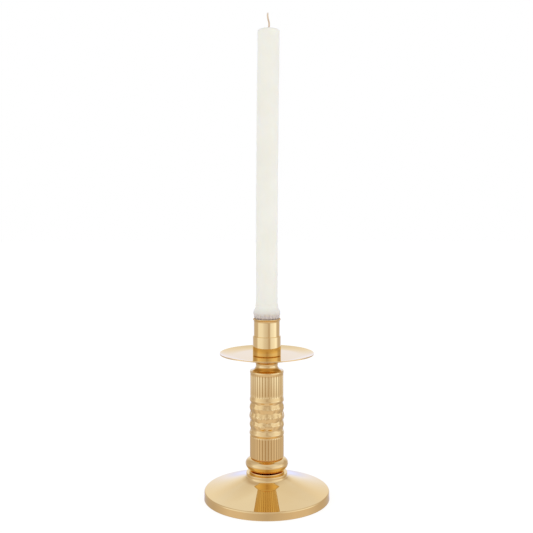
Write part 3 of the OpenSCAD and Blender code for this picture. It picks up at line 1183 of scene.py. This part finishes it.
@dataclass
class Taper:
    """Dinner candle with a fluted foot and a braided wick."""

    wax: bpy.types.Material
    cotton: bpy.types.Material
    relief: bpy.types.NodeTree
    braid: bpy.types.NodeTree
    radius: float = 11.1
    bore_r: float = 1.0
    bow: float = 1.75
    straight_h: float = 110.0
    grooves: int = 20
    groove_depth: float = 0.55
    groove_share: float = 0.6
    crown: float = 0.1
    foot_r: float = 10.4
    plug_r: float = 11.55
    belly: list[Point] = field(default_factory=lambda: [
        (12.55, 0.1), (13.15, 1.6), (13.88, 6.3), (11.75, 12.6)])
    strand_r: float = 0.42
    strand_swing: float = 0.5
    strand_pitch: float = 3.4
    wick_wave: float = 0.55
    wick_wave_h: float = 16.0
    wick_curl: float = 0.0035

    def lean(self, z: np.ndarray, foot: float, tip: float) -> np.ndarray:
        """Sideways bow of the candle at height z, in millimetres."""
        share = np.clip((z - foot - self.straight_h) / (tip - foot - self.straight_h), 0, None)
        return self.bow * share**1.3

    def body(self) -> None:
        """Builds the wax."""
        _, foot, tip = extent("candle")
        mouth = extent("socket_tube")[2]
        bore = self.bore_r
        grip, plug = self.foot_r, self.plug_r
        side = [(bore, foot), (grip - 0.8, foot), (grip - 0.2, foot + 0.3), (grip, foot + 0.9)]
        side += [(grip + (plug - grip) * t, foot + 0.9 + 15.5 * t) for t in np.linspace(0.04, 1, 20)]
        side += [(plug + 0.95 * t, mouth - 4.6 + 4.4 * t) for t in np.linspace(0.1, 1, 10)]
        side += wave([(r, mouth + z) for r, z in self.belly] + [(self.radius, mouth + 16.5)], 10)
        side += [(self.radius, z) for z in np.linspace(mouth + 17.5, tip - 3.6, 60)]
        side += arc((self.radius - 3.4, tip - 2.8), (3.4, 2.3), 4, 84, 12)
        side += [(self.radius - 6.0, tip - 0.3), (3.0, tip - 0.1), (1.7, tip), (bore, tip)]
        raw = turned("taper_candle", side, self.grooves * 12)
        spots = places(raw)
        z = spots[:, 2]
        outer = step_up(z, foot - 1, foot + 1) * (1 - step_up(z, mouth + 2.5, mouth + 7.5))
        store(raw, "groove_mask", outer * (np.hypot(spots[:, 0], spots[:, 1]) > 5))
        for name in ("boss_mask", "stagger", "weave"):
            store(raw, name, np.zeros(len(z)))
        candle = grow(raw, self.relief, {
            "Grooves": float(self.grooves), "Groove Depth": self.groove_depth * MM,
            "Groove Share": self.groove_share, "Crown": self.crown * MM, "Bosses": 1.0,
            "Boss Height": 0.0, "Weave": 0.0, "Material": self.wax})
        self.sway(candle, foot, tip)
        mount(candle, CANDLE, Slot.WAX, self.wax, "candle")

    def sway(self, thing: bpy.types.Object, foot: float, tip: float) -> None:
        """Bends a piece along the candle's bow."""
        for vertex in thing.data.vertices:
            vertex.co.x += float(self.lean(np.array(vertex.co.z / MM), foot, tip)) * MM

    def wick(self) -> None:
        """Builds the braided wick, which curls a little above the wax."""
        _, foot, top = extent("wick")
        tip = extent("candle")[2]
        seed = placed("braided_wick", bpy.data.meshes.new("braided_wick"))
        wick = grow(seed, self.braid, {
            "Foot": (foot + 0.5) * MM, "Length": (top - foot - 0.9) * MM,
            "Strand": self.strand_r * MM, "Swing": self.strand_swing * MM,
            "Pitch": self.strand_pitch * MM, "Points": 1300.0, "Material": self.cotton})
        self.sway(wick, foot, tip)
        for vertex in wick.data.vertices:
            rise = max(0.0, vertex.co.z / MM - tip)
            side = self.wick_wave * math.sin(rise / self.wick_wave_h * 2 * math.pi)
            vertex.co.x += (side - self.wick_curl * rise**2) * MM
        mount(wick, CANDLE, Slot.COTTON, self.cotton, "wick")

    def build(self) -> None:
        """Builds the candle and its wick."""
        self.body()
        self.wick()


@dataclass
class Fasteners:
    """Hidden metal pieces, kept as the frame has them."""

    steel: bpy.types.Material
    iron: bpy.types.Material

    def build(self) -> None:
        """Gives the fasteners and the weight their materials."""
        for name in ("socket_screw", "tie_rod", "rod_washer", "lock_washer", "rod_nut"):
            self.dress(name, self.steel)
        self.dress("base_weight", self.iron)

    def dress(self, name: str, material: bpy.types.Material) -> None:
        """Replaces a CAD node's material.

        Args:
            name: the node's name.
            material: its new material.
        """
        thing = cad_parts[name]
        thing.data.materials.clear()
        thing.data.materials.append(material)
        LOG.info("%s: dressed in %s", name, material.name)


# ---------------------------------------------------------------- studio


@dataclass(frozen=True)
class Band:
    """Brightness all round the studio in one range of elevations.

    The levels are pairs of azimuth in degrees, 0 towards the camera and 90 to the right, and brightness.
    Between the elevations start and full the band takes over from the band below it. Its colour is grey
    where the level is grey's middle number. Away from there, red and blue change by their own shares of
    the change in level.
    """

    start: float
    full: float
    levels: tuple[Point, ...]
    red: float = 0.67
    blue: float = 2.16
    grey: tuple[float, float, float] = (0.607, 0.59, 0.835)

    def colour(self, level: float) -> tuple[float, float, float]:
        """Colour at a level: warm grey where dim, cooler where bright."""
        above = level - self.grey[1]
        return self.grey[0] + self.red * above, level, self.grey[2] + self.blue * above


FLOOR_BAND = Band(-90.0, -89.0, (
    (-180, 0.5), (-110, 0.55), (-60, 0.85), (0, 0.8), (60, 0.85), (110, 0.55), (180, 0.5)), 0.96, 1.5)
TABLE_BAND = Band(-32.0, -22.0, (
    (-180, 0.95), (-170, 0.95), (-155, 0.55), (-110, 0.6), (-70, 0.8), (-50, 0.8), (0, 0.6), (50, 0.8),
    (75, 0.8), (110, 0.65), (155, 0.6), (170, 0.9), (180, 0.95)), 0.96, 1.5)
SILL_BAND = Band(-15.0, -11.6, (
    (-180, 0.95), (-170, 1.0), (-160, 0.9), (-125, 0.7), (-90, 0.75), (-85, 0.85), (-80, 1.2), (-75, 1.3),
    (-40, 1.25), (-20, 1.0), (5, 0.85), (15, 0.65), (20, 0.55), (25, 0.7), (30, 1.0), (35, 1.2), (65, 1.4),
    (80, 1.6), (85, 1.5), (95, 0.9), (110, 0.65), (130, 0.65), (150, 1.05), (180, 0.95)))
PANEL_BAND = Band(-6.0, 2.0, (
    (-180, 1.1), (-165, 1.1), (-145, 0.65), (-110, 0.6), (-95, 0.7), (-85, 0.9), (-75, 1.2), (-50, 1.1),
    (-10, 0.8), (0, 0.6), (10, 0.7), (45, 1.1), (65, 1.2), (90, 1.15), (95, 0.95), (110, 0.65), (140, 0.6),
    (165, 1.1), (180, 1.1)), 0.75, 1.85)
UPPER_BAND = Band(26.0, 36.0, (
    (-180, 1.05), (-165, 1.1), (-155, 0.95), (-140, 0.6), (-90, 0.8), (-70, 1.1), (-35, 0.9), (0, 0.8),
    (35, 0.9), (65, 1.1), (80, 0.9), (115, 0.75), (125, 0.85), (165, 1.05), (180, 1.05)))
CEILING_BAND = Band(56.0, 72.0, (
    (-180, 0.6), (-100, 0.6), (-60, 0.85), (-35, 0.95), (35, 0.95), (65, 0.85), (100, 0.65), (180, 0.6)))


@dataclass
class Studio:
    """Camera, pale floor and soft light."""

    distance: float = 0.804
    height: float = 0.3003
    side: float = -0.00035
    pitch: float = 4.27
    focal: float = 53.51
    brightest: float = 4.0
    soft_level: float = 0.78
    bands: tuple[Band, ...] = (FLOOR_BAND, TABLE_BAND, SILL_BAND, PANEL_BAND, UPPER_BAND, CEILING_BAND)
    floor_half: float = 6.0
    floor_drop: float = 0.0001
    floor_glow: float = 0.8
    floor_tone: Colour = (0.3, 0.3, 0.3, 1.0)
    lamps: tuple[tuple[str, float, float], ...] = (("soft_left", -48.0, 1.6), ("soft_right", 60.0, 2.2))
    lamp_size: Point = (0.9, 1.1)
    lamp_distance: float = 1.5
    lamp_height: float = 0.75
    lamp_aim: float = 0.25

    def camera(self) -> None:
        """Adds the camera."""
        data = bpy.data.cameras.new("camera")
        data.sensor_width = 36.0
        data.lens = self.focal
        data.clip_start = 0.01
        camera = placed("camera", data)
        camera.location = (self.side, -self.distance, self.height)
        camera.rotation_euler = (math.radians(90 - self.pitch), 0.0, 0.0)
        bpy.context.scene.camera = camera

    def floor(self) -> None:
        """Adds the pale floor, which shows from above only."""
        mesh = bpy.data.meshes.new("floor")
        half = self.floor_half
        corners = [(-half, -half, 0), (half, -half, 0), (half, half, 0), (-half, half, 0)]
        mesh.from_pydata(corners, [], [(0, 1, 2, 3)])
        floor = placed("floor", mesh)
        floor.location.z = -self.floor_drop
        floor.visible_glossy = False
        material = bpy.data.materials.new("floor")
        material.use_nodes = True
        g = Graph(material.node_tree)
        g.tree.nodes.clear()
        glow = g.node("ShaderNodeEmission")
        glow.inputs["Strength"].default_value = self.floor_glow
        matt = g.node("ShaderNodeBsdfDiffuse")
        matt.inputs["Color"].default_value = self.floor_tone
        pale = g.node("ShaderNodeAddShader")
        g.feed(pale.inputs[0], glow.outputs[0])
        g.feed(pale.inputs[1], matt.outputs[0])
        below = g.node("ShaderNodeNewGeometry").outputs["Backfacing"]
        clear = g.node("ShaderNodeBsdfTransparent").outputs[0]
        g.feed(g.node("ShaderNodeOutputMaterial").inputs[0], g.blend(below, pale.outputs[0], clear))
        mesh.materials.append(material)

    def surroundings(self) -> None:
        """Builds the studio that the brass mirrors: pale panels in front, dimmer gaps and a lit backdrop."""
        world = bpy.data.worlds.new("studio")
        bpy.context.scene.world = world
        world.use_nodes = True
        g = Graph(world.node_tree)
        g.tree.nodes.clear()
        x, y, z = g.split(g.node("ShaderNodeTexCoord").outputs["Generated"])
        azimuth = g.math("ARCTAN2", x, g.product(y, -1.0))
        round_share = g.math("MULTIPLY_ADD", azimuth, 0.5 / math.pi, 0.5)
        rise = g.math("MULTIPLY", g.math("ARCSINE", z), 180 / math.pi)
        tint = self.ring(g, self.bands[0], round_share)
        for band in self.bands[1:]:
            tint = g.mix(g.ease(rise, band.start, band.full), tint, self.ring(g, band, round_share))
        mirrored = self.background(g, tint, self.brightest)
        soft = self.background(g, (1.0, 1.0, 1.0, 1.0), self.soft_level)
        white = self.background(g, (1.0, 1.0, 1.0, 1.0), 1.0)
        path = g.node("ShaderNodeLightPath")
        unseen = g.blend(path.outputs["Is Glossy Ray"], soft, mirrored)
        shown = g.blend(path.outputs["Is Camera Ray"], unseen, white)
        g.feed(g.node("ShaderNodeOutputWorld").inputs[0], shown)

    def ring(self, g: Graph, band: Band, round_share: bpy.types.NodeSocket) -> bpy.types.NodeSocket:
        """Adds the colour ramp of one band.

        Args:
            g: the world's graph.
            band: the band.
            round_share: the azimuth as a share of a full turn.

        Returns:
            The colour's socket, as a share of the brightest level.
        """
        ramp = g.node("ShaderNodeValToRGB")
        stops = ramp.color_ramp.elements
        for azimuth, _ in band.levels[1:-1]:
            stops.new((azimuth + 180) / 360)
        for stop, (azimuth, level) in zip(stops, band.levels):
            stop.position = (azimuth + 180) / 360
            stop.color = (*(part / self.brightest for part in band.colour(level)), 1.0)
        g.feed(ramp.inputs[0], round_share)
        return ramp.outputs[0]

    def background(self, g: Graph, tint: object, strength: float) -> bpy.types.NodeSocket:
        """Adds a Background node.

        Args:
            g: the world's graph.
            tint: its colour, or a socket.
            strength: its strength.

        Returns:
            The node's socket.
        """
        made = g.node("ShaderNodeBackground")
        g.feed(made.inputs[0], tint)
        made.inputs[1].default_value = strength
        return made.outputs[0]

    def lights(self) -> None:
        """Adds two large soft lights in front, left and right."""
        for name, azimuth, power in self.lamps:
            data = bpy.data.lights.new(name, "AREA")
            data.shape = "RECTANGLE"
            data.size, data.size_y = self.lamp_size
            data.energy = power
            lamp = placed(name, data)
            turn = math.radians(azimuth)
            reach = self.lamp_distance
            lamp.location = (reach * math.sin(turn), -reach * math.cos(turn), self.lamp_height)
            aim = Vector((0.0, 0.0, self.lamp_aim)) - lamp.location
            lamp.rotation_euler = aim.to_track_quat("-Z", "Y").to_euler()
            lamp.visible_glossy = False

    def build(self) -> None:
        """Builds the whole studio."""
        self.camera()
        self.floor()
        self.surroundings()
        self.lights()
        settings = bpy.context.scene.view_settings
        settings.view_transform = "Standard"
        settings.look = "None"
        bpy.context.scene.cycles.glossy_bounces = 8


def main() -> None:
    """Builds the studio and every sub-assembly in order."""
    logging.basicConfig(level=logging.INFO, format="%(name)s: %(message)s")
    for group in (turning_group(), handling_group(), speckle_group()):
        GROUPS[group.name] = group
    brass = PolishedBrass().build()
    relief = relief_tree()
    Studio().build()
    Base(brass, Felt().build()).build()
    Column(brass, relief).build()
    Socket(brass).build()
    Taper(CandleWax().build(), WaxedCotton().build(), relief, braid_tree()).build()
    steel = BareMetal("plated_steel", tone=(0.62, 0.62, 0.62, 1), dark_tone=(0.5, 0.5, 0.52, 1),
                      metallic=1.0, roughness=(0.25, 0.42), grain_size=1200.0, grain_depth=6e-6)
    iron = BareMetal("cast_iron", tone=(0.11, 0.105, 0.1, 1), dark_tone=(0.06, 0.06, 0.06, 1),
                     metallic=0.6, roughness=(0.6, 0.8), grain_size=500.0, grain_depth=2e-4)
    Fasteners(steel.build(), iron.build()).build()


if __name__ == "__main__":
    main()
